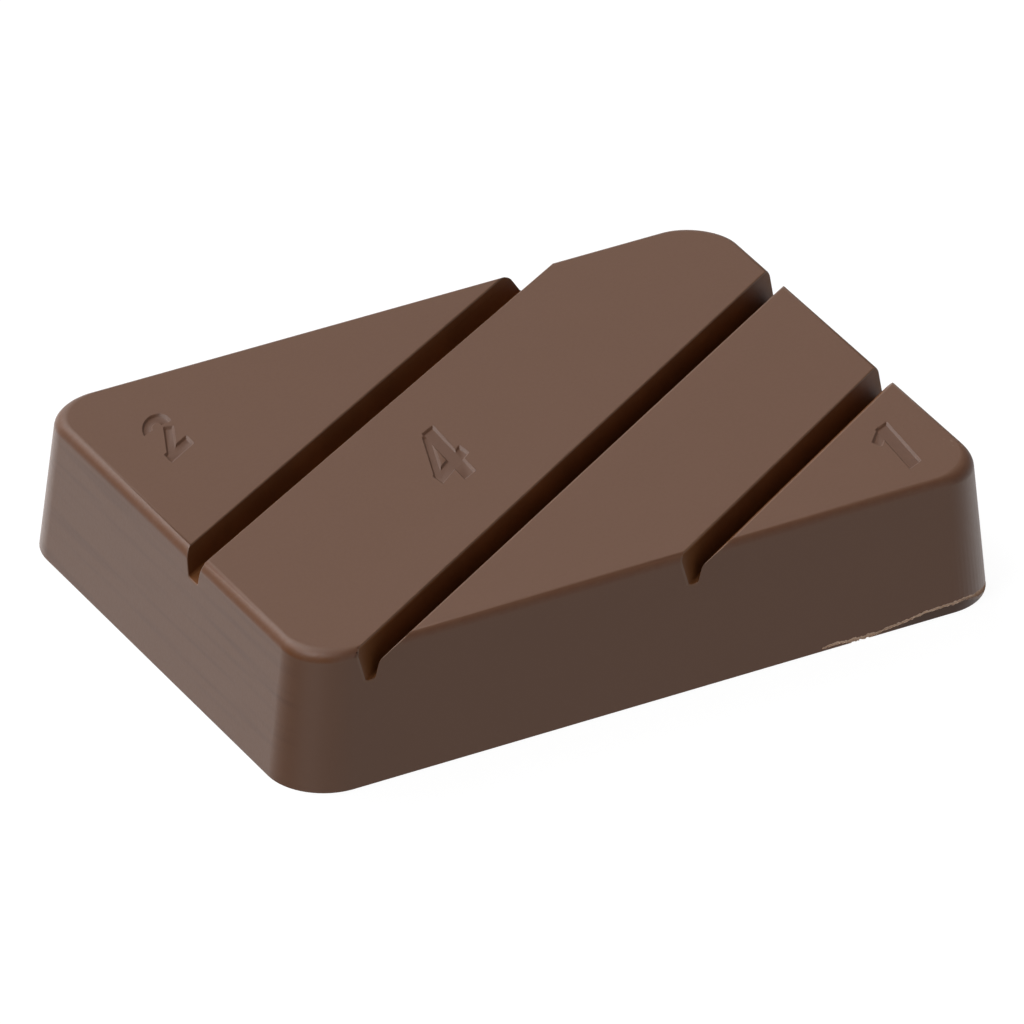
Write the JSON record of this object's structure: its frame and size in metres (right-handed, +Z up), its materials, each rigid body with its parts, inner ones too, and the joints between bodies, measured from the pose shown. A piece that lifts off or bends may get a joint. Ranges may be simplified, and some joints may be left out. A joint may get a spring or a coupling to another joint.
{
  "type": "chocolate bar",
  "caption": "Small moulded milk chocolate bar with slanting break grooves, uneven portions and sunk portion numbers, lying flat.",
  "frame": {"origin": "middle of the flat base, which lies at z = 0", "axes": "+X along the long side, +Y along the short side towards the back, +Z up out of the grooved face"},
  "size_m": [0.039, 0.0284, 0.0074],
  "materials": {
    "chocolate": "smooth moulded milk chocolate, satin, slightly waxy"
  },
  "bodies": {
    "root": {"chocolate_bar": "chocolate"}
  },
  "joints": []
}
